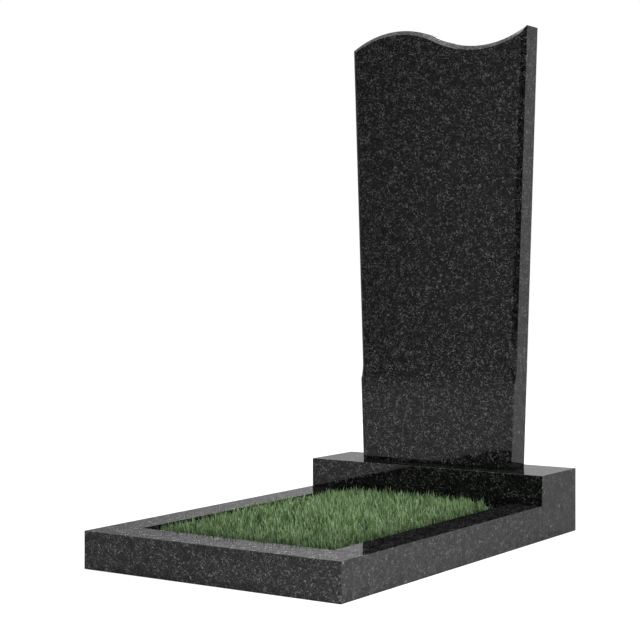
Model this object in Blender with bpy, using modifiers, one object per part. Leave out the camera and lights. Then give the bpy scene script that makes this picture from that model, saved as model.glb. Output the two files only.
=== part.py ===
"""A headstone of black granite: a wave-topped stele on a plinth, with a kerbed and turfed bed in front.

Metres, +Z up, the front towards -Y. The origin is on the ground, at the middle of the footprint.
"""

import math

import bmesh
import bpy
from mathutils import Vector

# The kerb and the plinth
SET_WIDTH = 0.600
BED_LENGTH = 0.795
KERB_HEIGHT = 0.075
FRONT_KERB_WIDTH = 0.088
SIDE_KERB_WIDTH = 0.075
PLINTH_DEPTH = 0.170
PLINTH_HEIGHT = 0.140

# The stele: heights are measured from the plinth's top
STELE_SETBACK = 0.060
STELE_THICKNESS = 0.0625
STELE_HEIGHT = 1.004
STELE_FOOT_WIDTH = 0.390
STELE_CREST_WIDTH = 0.459

# The wave along the stele's top: where its crest and valley are, as shares of the stele's half width
WAVE_DROP = 0.0497
CREST_SHARE = -0.449
VALLEY_SHARE = 0.458
ARC_STEPS = 40

# The bevel round the stele's front face, which a wheel runs out above the plinth
BEVEL_WIDTH = 0.010
BEVEL_FOOT_HEIGHT = 0.188
RUNOUT_LENGTH = 0.040
RUNOUT_STEPS = 6

# The broken edge of every stone, and the gap where one piece meets another
ARRIS = 0.0006
JOINT = 0.0003

# The turf stands a little above the kerb, and its edges fall away
TURF_ABOVE_KERB = 0.006
TURF_EDGE = 0.005

FRONT_Y = -(BED_LENGTH + PLINTH_DEPTH) / 2
PLINTH_FRONT_Y = FRONT_Y + BED_LENGTH
PLINTH_BACK_Y = PLINTH_FRONT_Y + PLINTH_DEPTH


def clear_scene():
    for old in list(bpy.data.objects):
        bpy.data.objects.remove(old, do_unlink=True)


def principled(name, color, roughness, specular=0.5):
    material = bpy.data.materials.new(name)
    material.use_nodes = True
    shader = material.node_tree.nodes["Principled BSDF"]
    shader.inputs["Base Color"].default_value = (*color, 1.0)
    shader.inputs["Metallic"].default_value = 0.0
    shader.inputs["Roughness"].default_value = roughness
    shader.inputs["Specular IOR Level"].default_value = specular
    material.diffuse_color = (*color, 1.0)
    return material


def add_to(collection, piece, material):
    """Moves a piece from the scene's own collection into the headstone's, and gives it its material."""
    for holder in list(piece.users_collection):
        holder.objects.unlink(piece)
    collection.objects.link(piece)
    piece.data.materials.clear()
    piece.data.materials.append(material)


def break_edges(piece, width):
    """Takes the sharpness off a stone's square edges, as a mason's rubbing block does."""
    bevel = piece.modifiers.new("arris", "BEVEL")
    bevel.width = width
    bevel.segments = 1
    bevel.limit_method = "ANGLE"
    bevel.angle_limit = math.radians(60)


def block(name, low, high):
    """A sawn block between two opposite corners."""
    size = [top - bottom for bottom, top in zip(low, high)]
    centre = [(top + bottom) / 2 for bottom, top in zip(low, high)]
    bpy.ops.mesh.primitive_cube_add(size=1, location=centre)
    piece = bpy.context.object
    piece.name = name
    piece.scale = size
    bpy.ops.object.transform_apply(location=False, rotation=False, scale=True)
    return piece


def make_kerb_front(collection, material):
    low = (-SET_WIDTH / 2, FRONT_Y, 0)
    high = (SET_WIDTH / 2, FRONT_Y + FRONT_KERB_WIDTH, KERB_HEIGHT)
    kerb = block("kerb_front", low, high)
    break_edges(kerb, ARRIS)
    add_to(collection, kerb, material)


def make_kerb_side(name, side, collection, material):
    """A side bar runs from the back of the front bar to the plinth. side is -1 for left, 1 for right."""
    outer = side * SET_WIDTH / 2
    inner = side * (SET_WIDTH / 2 - SIDE_KERB_WIDTH)
    low = (min(outer, inner), FRONT_Y + FRONT_KERB_WIDTH + JOINT, 0)
    high = (max(outer, inner), PLINTH_FRONT_Y - JOINT, KERB_HEIGHT)
    kerb = block(name, low, high)
    break_edges(kerb, ARRIS)
    add_to(collection, kerb, material)


def make_plinth(collection, material):
    low = (-SET_WIDTH / 2, PLINTH_FRONT_Y, 0)
    high = (SET_WIDTH / 2, PLINTH_BACK_Y, PLINTH_HEIGHT)
    plinth = block("plinth", low, high)
    break_edges(plinth, ARRIS)
    add_to(collection, plinth, material)


def make_turf(collection, material):
    """The planted bed as one plain body: it fills the kerb from the ground to a little above it."""
    half_width = SET_WIDTH / 2 - SIDE_KERB_WIDTH - JOINT
    low = (-half_width, FRONT_Y + FRONT_KERB_WIDTH + JOINT, 0)
    high = (half_width, PLINTH_FRONT_Y - JOINT, KERB_HEIGHT + TURF_ABOVE_KERB)
    turf = block("turf", low, high)
    mesh = turf.data
    weights = mesh.attributes.new("bevel_weight_edge", "FLOAT", "EDGE")
    for edge in mesh.edges:
        on_top = all(mesh.vertices[corner].co.z > 0 for corner in edge.vertices)
        weights.data[edge.index].value = 1.0 if on_top else 0.0
    fall = turf.modifiers.new("edge falls away", "BEVEL")
    fall.width = TURF_EDGE
    fall.segments = 2
    fall.limit_method = "WEIGHT"
    add_to(collection, turf, material)


def side_line(side):
    """The stele's side as a point at its foot, a unit direction upwards and a unit normal outwards, in X and Z."""
    foot = Vector((side * STELE_FOOT_WIDTH / 2, 0))
    crest = Vector((side * STELE_CREST_WIDTH / 2, STELE_HEIGHT))
    upwards = (crest - foot).normalized()
    outwards = Vector((upwards.y, -upwards.x)) * side
    return foot, upwards, outwards


def side_point(side, height, inset):
    foot, upwards, outwards = side_line(side)
    return foot + upwards * (height / upwards.y) - outwards * inset


def side_meets_circle(side, inset, centre, radius, upper):
    """Where the side, moved in by inset, crosses a circle: the upper crossing or the lower one."""
    foot, upwards, outwards = side_line(side)
    start = foot - outwards * inset - centre
    along = -start.dot(upwards)
    half_chord = math.sqrt(radius ** 2 - start.length_squared + along ** 2)
    reach = along + half_chord if upper else along - half_chord
    return centre + start + upwards * reach


def arc(centre, start, end, steps):
    """Points from start to end, both on one circle round centre, the short way round."""
    first = start - centre
    last = end - centre
    turn = math.atan2(first.x * last.y - first.y * last.x, first.dot(last))
    points = []
    for step in range(steps + 1):
        angle = turn * step / steps
        cosine = math.cos(angle)
        sine = math.sin(angle)
        points.append(centre + Vector((first.x * cosine - first.y * sine, first.x * sine + first.y * cosine)))
    return points


def wave(inset):
    """The top from left to right, moved into the stone by inset: a hump and a hollow of one radius, tangent."""
    half_width = STELE_CREST_WIDTH / 2
    run = (VALLEY_SHARE - CREST_SHARE) * half_width
    radius = (run ** 2 + WAVE_DROP ** 2) / (4 * WAVE_DROP)
    hump = Vector((CREST_SHARE * half_width, STELE_HEIGHT - radius))
    hollow = Vector((VALLEY_SHARE * half_width, STELE_HEIGHT - WAVE_DROP + radius))
    hump_radius = radius - inset
    hollow_radius = radius + inset
    left = side_meets_circle(-1, inset, hump, hump_radius, upper=True)
    right = side_meets_circle(1, inset, hollow, hollow_radius, upper=False)
    middle = hump + (hollow - hump).normalized() * hump_radius
    return arc(hump, left, middle, ARC_STEPS) + arc(hollow, middle, right, ARC_STEPS)[1:]


def bevel_depths():
    """Heights up the side with the bevel's depth at each: none, then a wheel's arc, then the full depth."""
    wheel = (RUNOUT_LENGTH ** 2 + BEVEL_WIDTH ** 2) / (2 * BEVEL_WIDTH)
    heights = [(0.0, 0.0)]
    for step in range(RUNOUT_STEPS + 1):
        below_top = RUNOUT_LENGTH * (1 - step / RUNOUT_STEPS)
        depth = BEVEL_WIDTH - wheel + math.sqrt(wheel ** 2 - below_top ** 2)
        heights.append((BEVEL_FOOT_HEIGHT + RUNOUT_LENGTH - below_top, max(depth, 0.0)))
    return heights


def outline(bevelled):
    """The stele's outline from its left foot over the top to its right foot, with the bevel's depth at each point.

    With bevelled set, the points move into the stone by that depth, which gives the front face's outline.
    """
    depths = bevel_depths()
    left = [(side_point(-1, height, depth if bevelled else 0), depth) for height, depth in depths]
    top = [(point, BEVEL_WIDTH) for point in wave(BEVEL_WIDTH if bevelled else 0)]
    right = [(side_point(1, height, depth if bevelled else 0), depth) for height, depth in reversed(depths)]
    return left + top + right


def make_stele(collection, material):
    """A loft through three rings: the front face, the bevel's back edge and the back face."""
    mesh = bpy.data.meshes.new("stele")
    shape = bmesh.new()
    front = [shape.verts.new((point.x, 0, point.y)) for point, _ in outline(True)]
    shoulder = [shape.verts.new((point.x, depth, point.y)) for point, depth in outline(False)]
    back = [shape.verts.new((point.x, STELE_THICKNESS, point.y)) for point, _ in outline(False)]
    rings = (front, shoulder, back)
    for near, far in zip(rings, rings[1:]):
        for index in range(len(near)):
            shape.faces.new((near[index - 1], near[index], far[index], far[index - 1]))
    shape.faces.new(front)
    shape.faces.new(back)
    bmesh.ops.remove_doubles(shape, verts=shape.verts, dist=0.000001)
    bmesh.ops.recalc_face_normals(shape, faces=shape.faces)
    shape.to_mesh(mesh)
    shape.free()
    stele = bpy.data.objects.new("stele", mesh)
    stele.location = (0, PLINTH_FRONT_Y + STELE_SETBACK, PLINTH_HEIGHT + JOINT)
    break_edges(stele, ARRIS)
    add_to(collection, stele, material)


def main():
    clear_scene()
    headstone = bpy.data.collections.new("headstone")
    bpy.context.scene.collection.children.link(headstone)
    stele_granite = principled("polished black granite, stele", (0.018, 0.018, 0.019), 0.10)
    plinth_granite = principled("polished black granite, plinth", (0.020, 0.020, 0.021), 0.12)
    kerb_granite = principled("polished black granite, kerb", (0.022, 0.022, 0.023), 0.14)
    grass = principled("short grass", (0.100, 0.165, 0.075), 0.80, specular=0.3)
    make_plinth(headstone, plinth_granite)
    make_stele(headstone, stele_granite)
    make_kerb_front(headstone, kerb_granite)
    make_kerb_side("kerb_left", -1, headstone, kerb_granite)
    make_kerb_side("kerb_right", 1, headstone, kerb_granite)
    make_turf(headstone, grass)


main()
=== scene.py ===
# %% [markdown]
# A polished black headstone with a planted bed.
#
# The real thing is a set of sawn and polished stones: a stele that widens towards a wave-cut top, the
# plinth that carries it, and three kerb bars that hold a bed of short grass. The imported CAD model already
# has the stones' true shapes, so this lesson loads it as a fixed frame and dresses it: stone for the five
# blocks, and a soil bed with modelled blades of grass in place of the plain turf block.

import math

import bpy
import numpy as np
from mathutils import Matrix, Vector, noise


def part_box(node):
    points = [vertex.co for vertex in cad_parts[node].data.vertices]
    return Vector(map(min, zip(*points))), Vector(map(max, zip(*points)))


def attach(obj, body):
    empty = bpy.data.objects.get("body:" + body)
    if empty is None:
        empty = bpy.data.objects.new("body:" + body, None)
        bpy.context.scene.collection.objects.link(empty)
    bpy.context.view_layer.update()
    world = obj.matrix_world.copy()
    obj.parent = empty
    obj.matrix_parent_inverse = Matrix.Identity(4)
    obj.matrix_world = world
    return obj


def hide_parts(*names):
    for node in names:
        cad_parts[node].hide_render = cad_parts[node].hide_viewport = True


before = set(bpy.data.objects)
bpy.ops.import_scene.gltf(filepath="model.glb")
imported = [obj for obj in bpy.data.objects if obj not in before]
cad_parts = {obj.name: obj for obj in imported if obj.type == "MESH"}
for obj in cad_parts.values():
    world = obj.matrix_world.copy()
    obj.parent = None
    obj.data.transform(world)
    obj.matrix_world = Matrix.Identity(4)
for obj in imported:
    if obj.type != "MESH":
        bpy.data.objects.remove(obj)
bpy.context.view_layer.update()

# %% [markdown]
# Two small helpers come first. Blender's operators act on whatever is selected, and the imported stones
# start out selected, so every step of modelling begins by clearing the selection. A finished piece keeps
# its place in its mesh and its object at the origin, which lets a pattern read plain Object coordinates in
# metres.

# %% Helpers for modelling
def clear_selection():
    """Leaves edit mode if need be, and deselects everything."""
    if bpy.context.object and bpy.context.object.mode != "OBJECT":
        bpy.ops.object.mode_set(mode="OBJECT")
    bpy.ops.object.select_all(action="DESELECT")


def settle(piece, name):
    """Names a piece and moves its place, turn and scale into its mesh."""
    clear_selection()
    piece.name = name
    piece.data.name = name
    piece.select_set(True)
    bpy.context.view_layer.objects.active = piece
    bpy.ops.object.transform_apply(location=True, rotation=True, scale=True)
    print("made", name, "with", len(piece.data.polygons), "faces")


print("modelling helpers ready")

# %% [markdown]
# The camera stands to the right of the grave, a little over knee height, and looks level along it, so every
# upright edge stays upright in the picture. A view camera would be levelled and its lens board shifted down
# to take in the kerb, and the small vertical shift here does the same. Its place and lens were worked out
# from the stones' straight edges.

# %% Camera
CAMERA_PLACE = (1.8094, -2.7944, 0.5762)
CAMERA_LEVEL = math.radians(90)
CAMERA_HEADING = math.radians(33.907)
CAMERA_LENS = 89.05
CAMERA_SENSOR = 36
CAMERA_SHIFT_DOWN = 0.0715

camera_data = bpy.data.cameras.new("camera")
camera_data.sensor_width = CAMERA_SENSOR
camera_data.lens = CAMERA_LENS
camera_data.shift_y = -CAMERA_SHIFT_DOWN
camera = bpy.data.objects.new("camera", camera_data)
camera.location = CAMERA_PLACE
camera.rotation_euler = (CAMERA_LEVEL, 0, CAMERA_HEADING)
bpy.context.scene.collection.objects.link(camera)
bpy.context.scene.camera = camera
print("camera:", CAMERA_LENS, "mm, heading", round(math.degrees(CAMERA_HEADING), 1), "degrees")

# %% [markdown]
# The room and every finish are node trees. A node tree built in code soon drowns in lines that make a node
# and link it, so each kind of node that this lesson uses often gets one helper, which takes numbers or
# sockets and gives back the socket of its result.

# %% Helpers for node trees
def math_node(tree, operation, first, second, third=None):
    """A Math node. Each value is a number or another node's socket."""
    node = tree.nodes.new("ShaderNodeMath")
    node.operation = operation
    for value, entry in zip((first, second, third), node.inputs):
        if isinstance(value, (int, float)):
            entry.default_value = value
        elif value is not None:
            tree.links.new(value, entry)
    return node.outputs["Value"]


def vector_node(tree, operation, first, second=None):
    """A Vector Math node from a socket and, where it takes two, another socket or a fixed vector."""
    node = tree.nodes.new("ShaderNodeVectorMath")
    node.operation = operation
    tree.links.new(first, node.inputs[0])
    if isinstance(second, (tuple, Vector)):
        node.inputs[1].default_value = second
    elif second is not None:
        tree.links.new(second, node.inputs[1])
    return node.outputs["Value" if operation in ("DOT_PRODUCT", "LENGTH") else "Vector"]


def soft_step(tree, value, begins, full, low=0.0, high=1.0):
    """Goes smoothly from low, where the value is begins, to high, where it is full."""
    node = tree.nodes.new("ShaderNodeMapRange")
    node.interpolation_type = "SMOOTHSTEP"
    settings = {"From Min": begins, "From Max": full, "To Min": low, "To Max": high}
    for entry, setting in settings.items():
        node.inputs[entry].default_value = setting
    tree.links.new(value, node.inputs["Value"])
    return node.outputs["Result"]


def cloud(tree, place, scale, detail, roughness=0.5):
    """A noise texture as one value."""
    node = tree.nodes.new("ShaderNodeTexNoise")
    node.inputs["Scale"].default_value = scale
    node.inputs["Detail"].default_value = detail
    node.inputs["Roughness"].default_value = roughness
    tree.links.new(place, node.inputs["Vector"])
    return node.outputs["Fac"]


def colour_mix(tree, factor, first, second):
    """Goes from the first colour to the second. Each is a fixed colour or another node's socket."""
    node = tree.nodes.new("ShaderNodeMix")
    node.data_type = "RGBA"
    tree.links.new(factor, node.inputs["Factor"])
    for value, entry in ((first, node.inputs["A"]), (second, node.inputs["B"])):
        if isinstance(value, tuple):
            entry.default_value = (*value, 1)
        else:
            tree.links.new(value, entry)
    return node.outputs["Result"]


def new_material(name, roughness, specular=0.5):
    """A material with its node tree and its Principled shader."""
    material = bpy.data.materials.new(name)
    material.use_nodes = True
    shader = material.node_tree.nodes["Principled BSDF"]
    shader.inputs["Roughness"].default_value = roughness
    shader.inputs["Specular IOR Level"].default_value = specular
    return material, material.node_tree, shader


def object_place(tree):
    """The place on the piece in metres, since every piece has its object at the origin."""
    return tree.nodes.new("ShaderNodeTexCoord").outputs["Object"]


print("node helpers ready")

# %% [markdown]
# Polished stone shows its surroundings more than its own colour, so the studio is designed as a room that
# the stone reflects. Area lights would show as hard rectangles in it, so the room is a sky built from soft
# round lobes: a ceiling with a lamp in it, two small bright lamps, a softbox over the photographer's
# shoulder, two dim walls, and a dark wall at the front right that takes light away. The camera itself sees
# plain white where there is no floor, as on a product page. Light that the stone has mirrored twice is cut
# down. Real light isn't, but the cut keeps the narrow ledge in front of the stele dark.

# %% Studio light
ROOM_WHITE = 1.0
ROOM_BASE = 0.12
# each part of the room: its direction, the cosines where it begins and where it is full, and its light
ROOM_LOBES = {
    "ceiling": ((-0.15, 0.00, 1.00), 0.45, 0.95, 0.90),
    "lamp overhead": ((0.30, -0.15, 1.00), 0.74, 0.94, 1.40),
    "lamp behind on the left": ((-0.50, 0.65, 0.50), 0.93, 0.985, 6.00),
    "lamp on the right": ((1.00, 0.30, 0.50), 0.93, 0.985, 9.00),
    "wall behind": ((0.10, 1.00, 0.00), 0.55, 0.90, 0.40),
    "wall in front": ((-0.20, -1.00, 0.00), 0.90, 0.99, 0.25),
    "softbox over the shoulder": ((0.50, -0.60, 0.80), 0.90, 0.985, 4.00),
}
# the same for the dark wall, with the share of the light that it takes away
DARK_WALL = ((0.86, -0.50, 0.00), 0.62, 0.95, 0.70)
SECOND_MIRROR = 0.05


def lobe(tree, looking, direction, begins, full):
    """A soft round patch of the room: 1 in the middle of the direction, 0 outside its cone."""
    facing = vector_node(tree, "DOT_PRODUCT", looking, Vector(direction).normalized())
    return soft_step(tree, facing, begins, full)


def mirrored_once(tree):
    """1 for light that has met one mirror at most, and SECOND_MIRROR for light that has met two."""
    mirrors_met = tree.nodes.new("ShaderNodeLightPath").outputs["Glossy Depth"]
    return soft_step(tree, mirrors_met, 1.0, 2.0, 1.0, SECOND_MIRROR)


def build_room():
    world = bpy.data.worlds.new("studio")
    bpy.context.scene.world = world
    world.use_nodes = True
    tree = world.node_tree
    looking = tree.nodes.new("ShaderNodeTexCoord").outputs["Generated"]
    light = ROOM_BASE
    for direction, begins, full, strength in ROOM_LOBES.values():
        patch = lobe(tree, looking, direction, begins, full)
        light = math_node(tree, "MULTIPLY_ADD", patch, strength, light)
    direction, begins, full, share = DARK_WALL
    patch = lobe(tree, looking, direction, begins, full)
    shade = math_node(tree, "MULTIPLY_ADD", patch, -share, 1.0)
    shaded = math_node(tree, "MULTIPLY", light, shade)
    room = math_node(tree, "MULTIPLY", shaded, mirrored_once(tree))
    ray = tree.nodes.new("ShaderNodeLightPath").outputs["Is Camera Ray"]
    to_white = math_node(tree, "SUBTRACT", ROOM_WHITE, room)
    seen = math_node(tree, "MULTIPLY_ADD", to_white, ray, room)
    tree.links.new(seen, tree.nodes["Background"].inputs["Color"])
    print("room:", len(ROOM_LOBES), "soft lobes and a dark wall")


build_room()
bpy.context.scene.view_settings.view_transform = "Standard"

# %% [markdown]
# The floor is a pale round of board, about eleven metres across. It fades out towards its rim, so the
# picture has no horizon. The stone shows it as the lighter zone low on the stele, and the long side of the
# kerb mirrors a painted pool of light to the right of the grave: the floor's colour is paler there, and no
# lamp lights it. The floor glows for the camera alone, because a floor that is bright enough to look white
# would flood the stone.

# %% Floor
FLOOR_RADIUS = 5.6
FLOOR_SOLID_RADIUS = 3.4
FLOOR_SIDES = 96
FLOOR_DROP = 0.0002
FLOOR_LIFT = 0.75
FLOOR_SHADE = 0.280
# painted pool of light: the floor's colour is made paler around this place, between these radii and by this
# gain
PAINTED_POOL_PLACE = (0.75, -0.45, 0.0)
PAINTED_POOL_RADII = (0.25, 1.15)
PAINTED_POOL_GAIN = 1.80

clear_selection()
bpy.ops.mesh.primitive_circle_add(
    vertices=FLOOR_SIDES,
    radius=FLOOR_RADIUS,
    fill_type="NGON",
    location=(0, 0, -FLOOR_DROP),
)
floor = bpy.context.object
settle(floor, "floor")


def floor_paint():
    """Matt, with a pool of light painted into its colour on the right. The camera sees it lifted to the
    white of the room.
    """
    paint, tree, shader = new_material("pale floor", roughness=1.0, specular=0.0)
    place = object_place(tree)
    from_painted_pool = vector_node(tree, "LENGTH", vector_node(tree, "SUBTRACT", place, PAINTED_POOL_PLACE))
    # painted pool of light in the floor's colour
    shade = soft_step(tree, from_painted_pool, *PAINTED_POOL_RADII, FLOOR_SHADE * PAINTED_POOL_GAIN, FLOOR_SHADE)
    # painted shade in reflections: the floor's colour is cut down for rays that have met two mirrors
    tree.links.new(math_node(tree, "MULTIPLY", shade, mirrored_once(tree)), shader.inputs["Base Color"])
    shader.inputs["Emission Strength"].default_value = 1.0
    ray = tree.nodes.new("ShaderNodeLightPath").outputs["Is Camera Ray"]
    tree.links.new(math_node(tree, "MULTIPLY", ray, FLOOR_LIFT), shader.inputs["Emission Color"])
    reach = vector_node(tree, "LENGTH", place)
    rim_fade = soft_step(tree, reach, FLOOR_SOLID_RADIUS, FLOOR_RADIUS, 1.0, 0.0)
    tree.links.new(rim_fade, shader.inputs["Alpha"])
    return paint


floor.data.materials.append(floor_paint())

# %% [markdown]
# Black monumental stone is a gabbro: a black ground full of pale laths of feldspar, up to a centimetre long
# and lying every way. A noise texture would give clouds and not crystals. So each cell of a Voronoi pattern
# gets one lath: the cell's own random colour turns the space around its middle, and an ellipsoid in that
# turned space is the crystal. The pattern is solid, so a lath that meets an edge runs on round it, as in a
# real sawn block.

# %% Crystals as a node group
LATH_INPUTS = {
    "Cells per metre": 100.0,
    "Half length": 0.0068,
    "Half width": 0.0011,
    "Half depth": 0.0060,
    "Bend": 0.010,
}
LATH_EDGE = 0.60
DULLEST_LATH = 0.12
DULL_LATHS = 2.2
BENDS_PER_METRE = 110
FULL_TURNS = (2 * math.pi, 2 * math.pi, 2 * math.pi)
MIDDLE_GREY = (0.5, 0.5, 0.5)


def turned_like_its_cell(tree, place, cells):
    """The place seen from the cell's middle, turned by three angles that belong to the cell."""
    local = vector_node(tree, "SUBTRACT", place, cells.outputs["Position"])
    angles = vector_node(tree, "MULTIPLY", cells.outputs["Color"], FULL_TURNS)
    turn = tree.nodes.new("ShaderNodeVectorRotate")
    turn.rotation_type = "EULER_XYZ"
    tree.links.new(local, turn.inputs["Vector"])
    tree.links.new(angles, turn.inputs["Rotation"])
    return turn.outputs["Vector"]


def bent(tree, place, amount):
    """Moves the place a little by a slow noise, so that straight laths come out bent."""
    drift = tree.nodes.new("ShaderNodeTexNoise")
    drift.inputs["Scale"].default_value = BENDS_PER_METRE
    drift.inputs["Detail"].default_value = 1
    tree.links.new(place, drift.inputs["Vector"])
    centred = vector_node(tree, "SUBTRACT", drift.outputs["Color"], MIDDLE_GREY)
    scaled = tree.nodes.new("ShaderNodeVectorMath")
    scaled.operation = "SCALE"
    tree.links.new(centred, scaled.inputs[0])
    tree.links.new(amount, scaled.inputs["Scale"])
    return vector_node(tree, "ADD", place, scaled.outputs["Vector"])


def build_crystals():
    group = bpy.data.node_groups.new("feldspar laths", "ShaderNodeTree")
    group.interface.new_socket(name="Vector", in_out="INPUT", socket_type="NodeSocketVector")
    for name, value in LATH_INPUTS.items():
        entry = group.interface.new_socket(name=name, in_out="INPUT", socket_type="NodeSocketFloat")
        entry.default_value = value
    group.interface.new_socket(name="Mask", in_out="OUTPUT", socket_type="NodeSocketFloat")
    given = group.nodes.new("NodeGroupInput").outputs
    place = bent(group, given["Vector"], given["Bend"])
    cells = group.nodes.new("ShaderNodeTexVoronoi")
    group.links.new(place, cells.inputs["Vector"])
    group.links.new(given["Cells per metre"], cells.inputs["Scale"])
    radii = group.nodes.new("ShaderNodeCombineXYZ")
    for axis, name in zip("XYZ", ("Half length", "Half width", "Half depth")):
        group.links.new(given[name], radii.inputs[axis])
    turned = turned_like_its_cell(group, place, cells)
    inside = vector_node(group, "DIVIDE", turned, radii.outputs["Vector"])
    edge = soft_step(group, vector_node(group, "LENGTH", inside), 1.0, LATH_EDGE)
    chance = group.nodes.new("ShaderNodeSeparateColor")
    group.links.new(cells.outputs["Color"], chance.inputs["Color"])
    few_are_pale = math_node(group, "POWER", chance.outputs["Green"], DULL_LATHS)
    paleness = math_node(group, "MULTIPLY_ADD", few_are_pale, 1 - DULLEST_LATH, DULLEST_LATH)
    mask = math_node(group, "MULTIPLY", edge, paleness)
    group.links.new(mask, group.nodes.new("NodeGroupOutput").inputs["Mask"])
    return group


crystals = build_crystals()
print("group:", crystals.name, "with", len(crystals.nodes), "nodes")

# %% [markdown]
# The stone lays four sets of laths over a nearly black ground, from about a centimetre long down to a few
# millimetres. A lath isn't only paler than the ground. It is a little duller, and the flat planes inside the
# crystal throw light back, which is why the flecks fade wherever the polish mirrors something dark. The
# Principled shader's coat stands in for those planes: its weight follows the laths, and its high index and
# soft roughness are set once on the shader. A slow noise thins the laths out in places, which gives a big
# polished face its cloudy look.

# %% Granite
# each set of laths: its shift in metres, how strongly it shows, then the group's own values
LATH_SETS = (
    ((0.0, 0.0, 0.0), 0.80, (120, 0.0058, 0.0010, 0.0052, 0.010)),
    ((0.9, 0.4, 0.7), 0.80, (138, 0.0050, 0.0010, 0.0044, 0.010)),
    ((0.3, 1.1, 0.2), 0.75, (160, 0.0042, 0.0010, 0.0036, 0.010)),
    ((1.3, 0.2, 0.5), 0.55, (300, 0.0020, 0.0011, 0.0018, 0.0)),
)
GROUND = (0.0006, 0.0006, 0.0006)
MATRIX = (0.0026, 0.0026, 0.0027)
LATH = (0.090, 0.091, 0.092)
LATH_SHINE = 0.48
LATH_IOR = 4.0
LATH_GLOSS = 0.15
LATH_DULL = 0.20
POLISH = 0.015
STONE_IOR = 1.46
# each noise: its scale, its detail and, where it differs from the usual, its roughness. A blend gives the
# values where its effect begins and where it is full
MATRIX_CLOUD = (420, 2)
MATRIX_BLEND = (0.40, 0.72)
THINNING_CLOUD = (45, 4, 0.6)
THINNING_BLEND = (0.34, 0.64)
THINNEST_AND_THICKEST = (0.30, 1.15)


def lath_set(tree, place, shift, strength, values):
    """One set of laths as a mask."""
    node = tree.nodes.new("ShaderNodeGroup")
    node.node_tree = crystals
    tree.links.new(vector_node(tree, "ADD", place, shift), node.inputs["Vector"])
    for name, value in zip(LATH_INPUTS, values):
        node.inputs[name].default_value = value
    return math_node(tree, "MULTIPLY", node.outputs["Mask"], strength)


def granite(name, grain, block_shift):
    """Polished stone. Grain scales its crystals, and the shift takes the block from another place."""
    stone, tree, shader = new_material(name, roughness=POLISH)
    shader.inputs["IOR"].default_value = STONE_IOR
    finer = vector_node(tree, "MULTIPLY", object_place(tree), (1 / grain, 1 / grain, 1 / grain))
    place = vector_node(tree, "ADD", finer, block_shift)
    specks = soft_step(tree, cloud(tree, place, *MATRIX_CLOUD), *MATRIX_BLEND)
    matrix = colour_mix(tree, specks, GROUND, MATRIX)
    pale = 0.0
    for shift, strength, values in LATH_SETS:
        pale = math_node(tree, "ADD", pale, lath_set(tree, place, shift, strength, values))
    slow = cloud(tree, place, *THINNING_CLOUD)
    thinning = soft_step(tree, slow, *THINNING_BLEND, *THINNEST_AND_THICKEST)
    amount = math_node(tree, "MULTIPLY", pale, thinning)
    dull = math_node(tree, "MULTIPLY_ADD", amount, LATH_DULL, POLISH)
    tree.links.new(colour_mix(tree, amount, matrix, LATH), shader.inputs["Base Color"])
    tree.links.new(dull, shader.inputs["Roughness"])
    tree.links.new(math_node(tree, "MULTIPLY", amount, LATH_SHINE), shader.inputs["Coat Weight"])
    shader.inputs["Coat IOR"].default_value = LATH_IOR
    shader.inputs["Coat Roughness"].default_value = LATH_GLOSS
    return stone


print("granite:", len(LATH_SETS), "sets of laths")

# %% [markdown]
# Five blocks can come from one quarry and still never match crystal for crystal. Each stone therefore gets
# its own material, with the pattern shifted to another place in the quarry, and the low blocks have a
# slightly finer grain than the stele.

# %% Dress the stones
STELE_GRAIN = 0.88
KERB_GRAIN = 0.85

stones = {
    "stele": granite("stele granite", STELE_GRAIN, (0.0, 0.0, 0.0)),
    "plinth": granite("plinth granite", KERB_GRAIN, (3.1, 0.0, 0.0)),
    "kerb_front": granite("front kerb granite", KERB_GRAIN, (0.0, 5.3, 0.0)),
    "kerb_left": granite("left kerb granite", KERB_GRAIN, (7.7, 0.0, 2.0)),
    "kerb_right": granite("right kerb granite", KERB_GRAIN, (0.0, 2.9, 4.1)),
}
for node_name, stone in stones.items():
    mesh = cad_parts[node_name].data
    mesh.materials.clear()
    mesh.materials.append(stone)
print("stones dressed:", sorted(stones))

# %% [markdown]
# The bed inside the kerb is soil, a few centimetres below the kerb's top, darker than anything that grows
# in it. It starts as a grid, gets its clods and crumbs from two displacements, and is extruded down to the
# ground so that it is a closed body.

# %% Soil bed
SOIL_TOP = 0.046
SOIL_CELL = 0.006
# each kind of unevenness: its size across and its height
SOIL_LUMPS = {"clods": (0.030, 0.010), "crumbs": (0.007, 0.004)}

turf_low, turf_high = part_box("turf")
bed_size = turf_high - turf_low
bed_middle = (turf_high + turf_low) / 2
clear_selection()
bpy.ops.mesh.primitive_grid_add(
    x_subdivisions=round(bed_size.x / SOIL_CELL),
    y_subdivisions=round(bed_size.y / SOIL_CELL),
    size=1,
    location=(bed_middle.x, bed_middle.y, SOIL_TOP),
)
soil = bpy.context.object
soil.scale = (bed_size.x, bed_size.y, 1)
settle(soil, "soil")
for lump_name, (lump_size, lump_height) in SOIL_LUMPS.items():
    texture = bpy.data.textures.new(lump_name, "CLOUDS")
    texture.noise_scale = lump_size
    rise = soil.modifiers.new(lump_name, "DISPLACE")
    rise.texture = texture
    rise.texture_coords = "OBJECT"
    rise.strength = lump_height
    rise.mid_level = 0.5
    bpy.ops.object.modifier_apply(modifier=lump_name)
bpy.ops.object.mode_set(mode="EDIT")
bpy.ops.mesh.select_all(action="SELECT")
bpy.ops.mesh.extrude_region_move(TRANSFORM_OT_translate={"value": (0, 0, -SOIL_TOP)})
bpy.ops.transform.resize(value=(1, 1, 0), center_override=(0, 0, 0))
bpy.ops.mesh.select_all(action="SELECT")
bpy.ops.mesh.normals_make_consistent(inside=False)
bpy.ops.object.mode_set(mode="OBJECT")
print("soil:", len(soil.data.vertices), "points")

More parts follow.
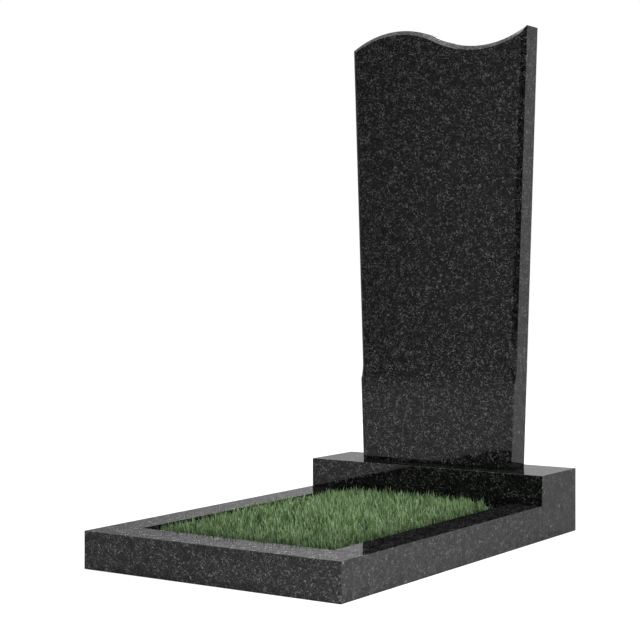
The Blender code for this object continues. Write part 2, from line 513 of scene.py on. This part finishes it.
# %% [markdown]
# Damp garden soil is nearly black between blades of grass, and its crumbs scatter what little light gets
# there. A fine noise between two dark browns is enough, with hardly any gloss.

# %% Soil paint
EARTH_CLOUD = (240, 4)
EARTH_DARK = (0.003, 0.0025, 0.002)
EARTH_PALE = (0.014, 0.011, 0.008)


def soil_paint():
    earth, tree, shader = new_material("soil", roughness=0.95, specular=0.1)
    grain = cloud(tree, object_place(tree), *EARTH_CLOUD)
    tree.links.new(colour_mix(tree, grain, EARTH_DARK, EARTH_PALE), shader.inputs["Base Color"])
    return earth


soil.data.materials.append(soil_paint())
print("soil painted:", soil.data.materials[0].name)

# %% [markdown]
# A blade of grass is a narrow strip with a keel, which tapers to a point and arches over. One blade of each
# kind is modelled, from upright to bent. A plane is squeezed to a line with a point in its middle, the
# point is moved back to make the keel, and the line is extruded upwards, narrowed and moved forwards, with
# its last edge merged to a tip. It has only a few faces, because tens of thousands of blades make a lawn.

# %% Model the blades
BLADE_LENGTH = 0.040
BLADE_WIDTH = 0.0026
KEEL_DEPTH = 0.0005
SAME_POINT = BLADE_WIDTH / 10
# each kind: its share of the lawn, and how far forward each level leans, as a share of the length
BLADE_KINDS = {
    "upright": (0.38, (0.02, 0.05, 0.10)),
    "leaning": (0.34, (0.05, 0.13, 0.25)),
    "arched": (0.22, (0.04, 0.15, 0.36)),
    "bent": (0.06, (0.09, 0.28, 0.58)),
}
LEVEL_HEIGHTS = (0.36, 0.72, 1.00)
LEVEL_WIDTHS = (0.95, 0.68, 0.0)
# the share of its height that a level loses when it leans forward by the blade's full length
LEAN_LOSS = 0.35


def start_of_blade(kind):
    """The foot of a blade: a line of two edges, with the keel in its middle."""
    clear_selection()
    bpy.ops.mesh.primitive_plane_add(size=1, location=(0, 0, 0))
    blade = bpy.context.object
    settle(blade, "blade_" + kind)
    bpy.ops.object.mode_set(mode="EDIT")
    bpy.ops.mesh.select_all(action="SELECT")
    bpy.ops.mesh.subdivide(number_cuts=1)
    bpy.ops.transform.resize(value=(BLADE_WIDTH, 0, 1), center_override=(0, 0, 0))
    bpy.ops.mesh.remove_doubles(threshold=SAME_POINT)
    bpy.ops.object.mode_set(mode="OBJECT")
    for corner in blade.data.vertices:
        corner.co.y = KEEL_DEPTH if abs(corner.co.x) < SAME_POINT else 0.0
    return blade


def model_blade(kind, forward):
    """A blade with its foot at the origin, facing -Y, arching towards +Y. Gives its points and faces."""
    blade = start_of_blade(kind)
    bpy.ops.object.mode_set(mode="EDIT")
    bpy.ops.mesh.select_all(action="SELECT")
    height = 0.0
    ahead = 0.0
    width = 1.0
    for level_height, level_width, level_forward in zip(LEVEL_HEIGHTS, LEVEL_WIDTHS, forward):
        rise = level_height * (1 - LEAN_LOSS * level_forward) * BLADE_LENGTH - height
        step = level_forward * BLADE_LENGTH - ahead
        bpy.ops.mesh.extrude_region_move(TRANSFORM_OT_translate={"value": (0, step, rise)})
        height += rise
        ahead += step
        if level_width > 0:
            bpy.ops.transform.resize(value=(level_width / width, 1, 1), center_override=(0, 0, 0))
            width = level_width
        else:
            bpy.ops.mesh.merge(type="CENTER")
    bpy.ops.object.mode_set(mode="OBJECT")
    points = np.array([corner.co for corner in blade.data.vertices])
    faces = [tuple(face.vertices) for face in blade.data.polygons]
    bpy.data.objects.remove(blade, do_unlink=True)
    return points, faces


blades = [model_blade(kind, forward) for kind, (_, forward) in BLADE_KINDS.items()]
kind_shares = [share for share, _ in BLADE_KINDS.values()]
print("blades, points and faces:", [(len(points), len(faces)) for points, faces in blades])

# %% [markdown]
# The grass patch is a rectangle with round corners, a little inside the kerb, and its back corners are
# rounder than its front ones. Blades at random places would leave bald spots by chance, so they stand on a
# grid, each shifted by up to half a cell. They thin out over the last centimetre or so before the rim, and
# along the left bar a strip of soil stays bare.

# %% Where the grass grows
BLADE_SPACING = 0.0037
RIM_MARGIN = Vector((0.008, 0.003))
FRONT_CORNERS = 0.050
BACK_CORNERS = 0.110
LEFT_GAP = 0.018
SPARSE_RIM = 0.018
CHANCE_AT_RIM = 0.30


def depth_in_patch(x, y):
    """How far a place lies inside the patch's rounded rim. It is negative outside."""
    radius = FRONT_CORNERS if y < bed_middle.y else BACK_CORNERS
    half = Vector((bed_size.x, bed_size.y)) / 2 - RIM_MARGIN - Vector((radius, radius))
    beyond = Vector((abs(x - bed_middle.x) - half.x, abs(y - bed_middle.y) - half.y))
    outside = Vector((max(beyond.x, 0), max(beyond.y, 0))).length
    return radius - outside - min(max(beyond.x, beyond.y), 0)


def grows_here(x, y, luck):
    """Whether a blade comes up here. Its luck is from 0 to 1, and a low one is enough even at the rim."""
    inside = depth_in_patch(x, y)
    from_gap = x - turf_low.x - LEFT_GAP
    return inside >= 0 and luck <= CHANCE_AT_RIM + min(inside, from_gap) / SPARSE_RIM


def roots(low_y, high_y, chance):
    """Places for blades on a jittered grid in one strip of the bed."""
    across = np.arange(turf_low.x, turf_high.x, BLADE_SPACING)
    along = np.arange(low_y, high_y, BLADE_SPACING)
    grid = np.array(np.meshgrid(across, along)).reshape(2, -1).T
    return grid + chance.uniform(-0.5, 0.5, grid.shape) * BLADE_SPACING


print("bed:", round(bed_size.x, 3), "by", round(bed_size.y, 3), "metres")

# %% [markdown]
# Cut grass isn't even. It leans together and stands taller in tufts, which slow noises give, read at three
# shifted places: noise_vector would do it in one call, but its values change with every start of Blender.
# The grass gets taller towards the back, less so on the right. It is tallest along the middle of the left
# bar, and low in the back left corner. The first rows behind the front bar are upright, and a little taller
# than those behind them. Each blade also gets a share of painted light: painted shade darkens the grass
# beside the right bar and the front bar, where the stone would keep light off it, and the front of the bed
# is painted darker than its back.

# %% Height, lean and painted light of a blade
TUFT_SIZE = 0.030
TUFT_RISE = 0.07
# where the three slow noises are read: the lean across, the lean along and the height
TUFT_SHIFTS = (Vector((9.3, -1.5, 0.7)), Vector((0.4, 0.9, 5.2)), Vector((-2.1, 7.6, 3.4)))
SHORTEST = 0.74
COMMON_SPREAD = 0.20
RARE_SPREAD = 0.22
RARENESS = 5
FRONT_ROWS = 0.012
FRONT_HEIGHT = 1.10
USUAL_HEIGHT = 0.99
BACK_RISE = 0.12
RIGHT_DROP = 0.10
LEFT_ROWS = 0.060
# the rise along the left bar at some places of the bed, which runs from 0 at the front to 1 at the back
LEFT_RISE_PLACES = (0.0, 4 / 9, 0.67, 0.85)
LEFT_RISES = (0.06, 0.22, 0.22, -0.14)
# painted shade of the grass: the width of the shady rim, the light left at the rim and at the back, and the
# light lost towards the front
SHADY_RIM = 0.070
LIGHT_AT_RIM = 0.55
LIGHT_AT_BACK = 0.975
LIGHT_LOST_IN_FRONT = 0.33


def share_back(y):
    """0 at the front of the bed, 1 at its back."""
    return (y - turf_low.y) / bed_size.y


def in_front_rows(y):
    return y < turf_low.y + FRONT_ROWS


def tuft_at(x, y):
    """Three slow noises: which way the grass leans here, across and along, and how tall it stands."""
    place = Vector((x, y, 0)) / TUFT_SIZE
    return Vector([noise.noise(place + shift) for shift in TUFT_SHIFTS])


def height_trend(x, y):
    """How tall the grass grows in this part of the bed."""
    if in_front_rows(y):
        return FRONT_HEIGHT
    back = share_back(y)
    left = max(0, 1 - (x - turf_low.x) / LEFT_ROWS)
    right = max(0, x / turf_high.x)
    left_rise = np.interp(back, LEFT_RISE_PLACES, LEFT_RISES)
    return USUAL_HEIGHT + (BACK_RISE - RIGHT_DROP * right) * back + left_rise * left


def blade_size(x, y, luck, tuft):
    """Most blades are of nearly one length, and a few stand out."""
    own = SHORTEST + COMMON_SPREAD * luck + RARE_SPREAD * luck ** RARENESS
    return own * (1 + TUFT_RISE * tuft.z) * height_trend(x, y)


def painted_light_share(x, y):
    """How much painted light the grass gets here: painted shade near the right bar and the front bar, and
    towards the front.
    """
    from_rim = min(turf_high.x - x, y - turf_low.y) - RIM_MARGIN.x
    out_of_shade = min(1.0, max(0.0, from_rim) / SHADY_RIM)
    beside_stone = LIGHT_AT_RIM + (1 - LIGHT_AT_RIM) * out_of_shade
    return beside_stone * (LIGHT_AT_BACK - LIGHT_LOST_IN_FRONT * (1 - share_back(y)) ** 2)


usual_size = blade_size(bed_middle.x, bed_middle.y, 0.5, Vector((0, 0, 0)))
print("a usual blade in the middle of the bed:", round(usual_size * BLADE_LENGTH, 3), "metres")

# %% [markdown]
# The paint darkens each blade towards its root, painted shade for the light that doesn't reach down between
# the blades, and no two blades are of one green. The paint reads three attributes that every blade carries:
# how far up it a point is, one random number for its tint, and its share of painted light. The real stone
# shows this grass darker than a plain mirror would, so the paint keeps only a part of its light for rays
# that come from a mirror. Real grass doesn't do that, but it gives the look.

# %% Grass paint
DARKEST_GREEN = (0.058, 0.122, 0.036)
COMMON_GREEN = (0.295, 0.460, 0.205)
PALEST_GREEN = (0.362, 0.500, 0.275)
COMMON_TINT = 0.40
# painted shade: the dark green that the paint goes to low on a blade, beside the bars and in mirrors, then
# the levels up the blade where painted shade gives way to full light, and the light kept at the root
PAINTED_SHADE_GREEN = (0.005, 0.016, 0.002)
LIT_LEVELS = (0.42, 0.97)
LIGHT_AT_ROOT = 0.06
MIRRORED_SHARE = 0.25


def attribute_value(tree, name):
    node = tree.nodes.new("ShaderNodeAttribute")
    node.attribute_name = name
    return node.outputs["Fac"]


def grass_paint():
    green, tree, shader = new_material("grass", roughness=0.55, specular=0.1)
    hues = tree.nodes.new("ShaderNodeValToRGB")
    stops = hues.color_ramp.elements
    stops[0].color = (*DARKEST_GREEN, 1)
    stops[1].color = (*PALEST_GREEN, 1)
    stops.new(COMMON_TINT).color = (*COMMON_GREEN, 1)
    tree.links.new(attribute_value(tree, "blade_tint"), hues.inputs["Fac"])
    # painted shade up each blade, darkest at its root
    up = soft_step(tree, attribute_value(tree, "up_the_blade"), *LIT_LEVELS, LIGHT_AT_ROOT, 1.0)
    # painted shade beside the right and front bars and towards the front of the bed
    lit = math_node(tree, "MULTIPLY", up, attribute_value(tree, "painted_blade_shade"))
    in_mirror = tree.nodes.new("ShaderNodeLightPath").outputs["Is Glossy Ray"]
    kept = math_node(tree, "MULTIPLY_ADD", in_mirror, MIRRORED_SHARE - 1, 1.0)
    shown = math_node(tree, "MULTIPLY", lit, kept)
    paint = colour_mix(tree, shown, PAINTED_SHADE_GREEN, hues.outputs["Color"])
    tree.links.new(paint, shader.inputs["Base Color"])
    return green


grass_green = grass_paint()
print("paint:", grass_green.name)

# %% [markdown]
# A blade is copied by moving its points: they are sized, turned to the blade's heading and set with the foot
# just under the soil. Twenty thousand separate objects would slow Blender down. Real grass stops at the
# stone, so a blade that would run into a kerb bar or the plinth is found here, and left out when it is sown.

# %% Place a blade
ROOT_DEPTH = 0.002
STONE_CLEARANCE = 0.001

kerb_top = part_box("kerb_front")[1].z


def placed_blade(shape, x, y, size, width, heading):
    """A blade's points, sized, turned round and moved to its root in the soil."""
    local = shape * (width, size, size)
    cosine = math.cos(heading)
    sine = math.sin(heading)
    placed = np.empty_like(local)
    placed[:, 0] = x + local[:, 0] * cosine - local[:, 1] * sine
    placed[:, 1] = y + local[:, 0] * sine + local[:, 1] * cosine
    placed[:, 2] = SOIL_TOP - ROOT_DEPTH + local[:, 2]
    return placed


def runs_into_stone(points):
    """Whether a blade has a point past the plinth's front, or past a kerb bar's inner side and too low."""
    beside = (points[:, 0] < turf_low.x) | (points[:, 0] > turf_high.x) | (points[:, 1] < turf_low.y)
    low = points[:, 2] < kerb_top + STONE_CLEARANCE
    return bool(np.any(beside & low) or np.any(points[:, 1] > turf_high.y))


print("kerb top:", round(kerb_top, 3), "metres, soil top:", SOIL_TOP, "metres")

# %% [markdown]
# The lawn is sown in four strips from front to back, each its own mesh and each with its own seed, so every
# run grows the same grass. Particle hair would be quicker to set up, but an exported model loses it. Each
# place draws its numbers before it is known whether a blade grows there, so a change of the rim leaves all
# other blades as they were.

# %% Sow the lawn
LAWN_STRIPS = 4
FIRST_SEED = 100
HEADING_SPREAD = 1.3
NARROWEST = 0.8
WIDTH_SPREAD = 0.4
UPRIGHT = 0


def sow_strip(index):
    """The points, faces and attributes of one strip."""
    chance = np.random.default_rng(FIRST_SEED + index)
    step = bed_size.y / LAWN_STRIPS
    points, faces, heights, tints, painted_shades = [], [], [], [], []
    for x, y in roots(turf_low.y + index * step, turf_low.y + (index + 1) * step, chance):
        kind = chance.choice(len(blades), p=kind_shares)
        root_luck, size_luck, width_luck, tint = chance.random(4)
        swing = chance.normal(0, HEADING_SPREAD)
        if not grows_here(x, y, root_luck):
            continue
        tuft = tuft_at(x, y)
        shape, shape_faces = blades[UPRIGHT if in_front_rows(y) else kind]
        size = blade_size(x, y, size_luck, tuft)
        width = NARROWEST + WIDTH_SPREAD * width_luck
        heading = math.atan2(tuft.y, tuft.x) + swing
        blade = placed_blade(shape, x, y, size, width, heading)
        if runs_into_stone(blade):
            continue
        start = len(points)
        points.extend(blade)
        faces.extend(tuple(corner + start for corner in face) for face in shape_faces)
        heights.extend(shape[:, 2] / BLADE_LENGTH)
        tints.extend([tint] * len(shape))
        # each blade's share of painted light, with its painted shade beside the bars and in front
        painted_shades.extend([painted_light_share(x, y)] * len(shape))
    return points, faces, {"up_the_blade": heights, "blade_tint": tints, "painted_blade_shade": painted_shades}


def make_lawn_strip(index, paint):
    """One strip of the lawn as an object."""
    points, faces, attributes = sow_strip(index)
    name = "grass_" + str(index + 1)
    mesh = bpy.data.meshes.new(name)
    mesh.from_pydata(points, [], faces)
    for attribute_name, values in attributes.items():
        attribute = mesh.attributes.new(attribute_name, "FLOAT", "POINT")
        attribute.data.foreach_set("value", np.array(values, np.float32))
    mesh.materials.append(paint)
    mesh.shade_smooth()
    strip = bpy.data.objects.new(name, mesh)
    bpy.context.scene.collection.objects.link(strip)
    print("sown", name, "with", len(faces), "faces")
    return strip


lawn = [make_lawn_strip(index, grass_green) for index in range(LAWN_STRIPS)]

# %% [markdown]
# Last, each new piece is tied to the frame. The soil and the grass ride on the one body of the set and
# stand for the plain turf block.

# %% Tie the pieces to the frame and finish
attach(soil, "root")
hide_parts("turf")
for strip in lawn:
    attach(strip, "root")
    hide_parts("turf")
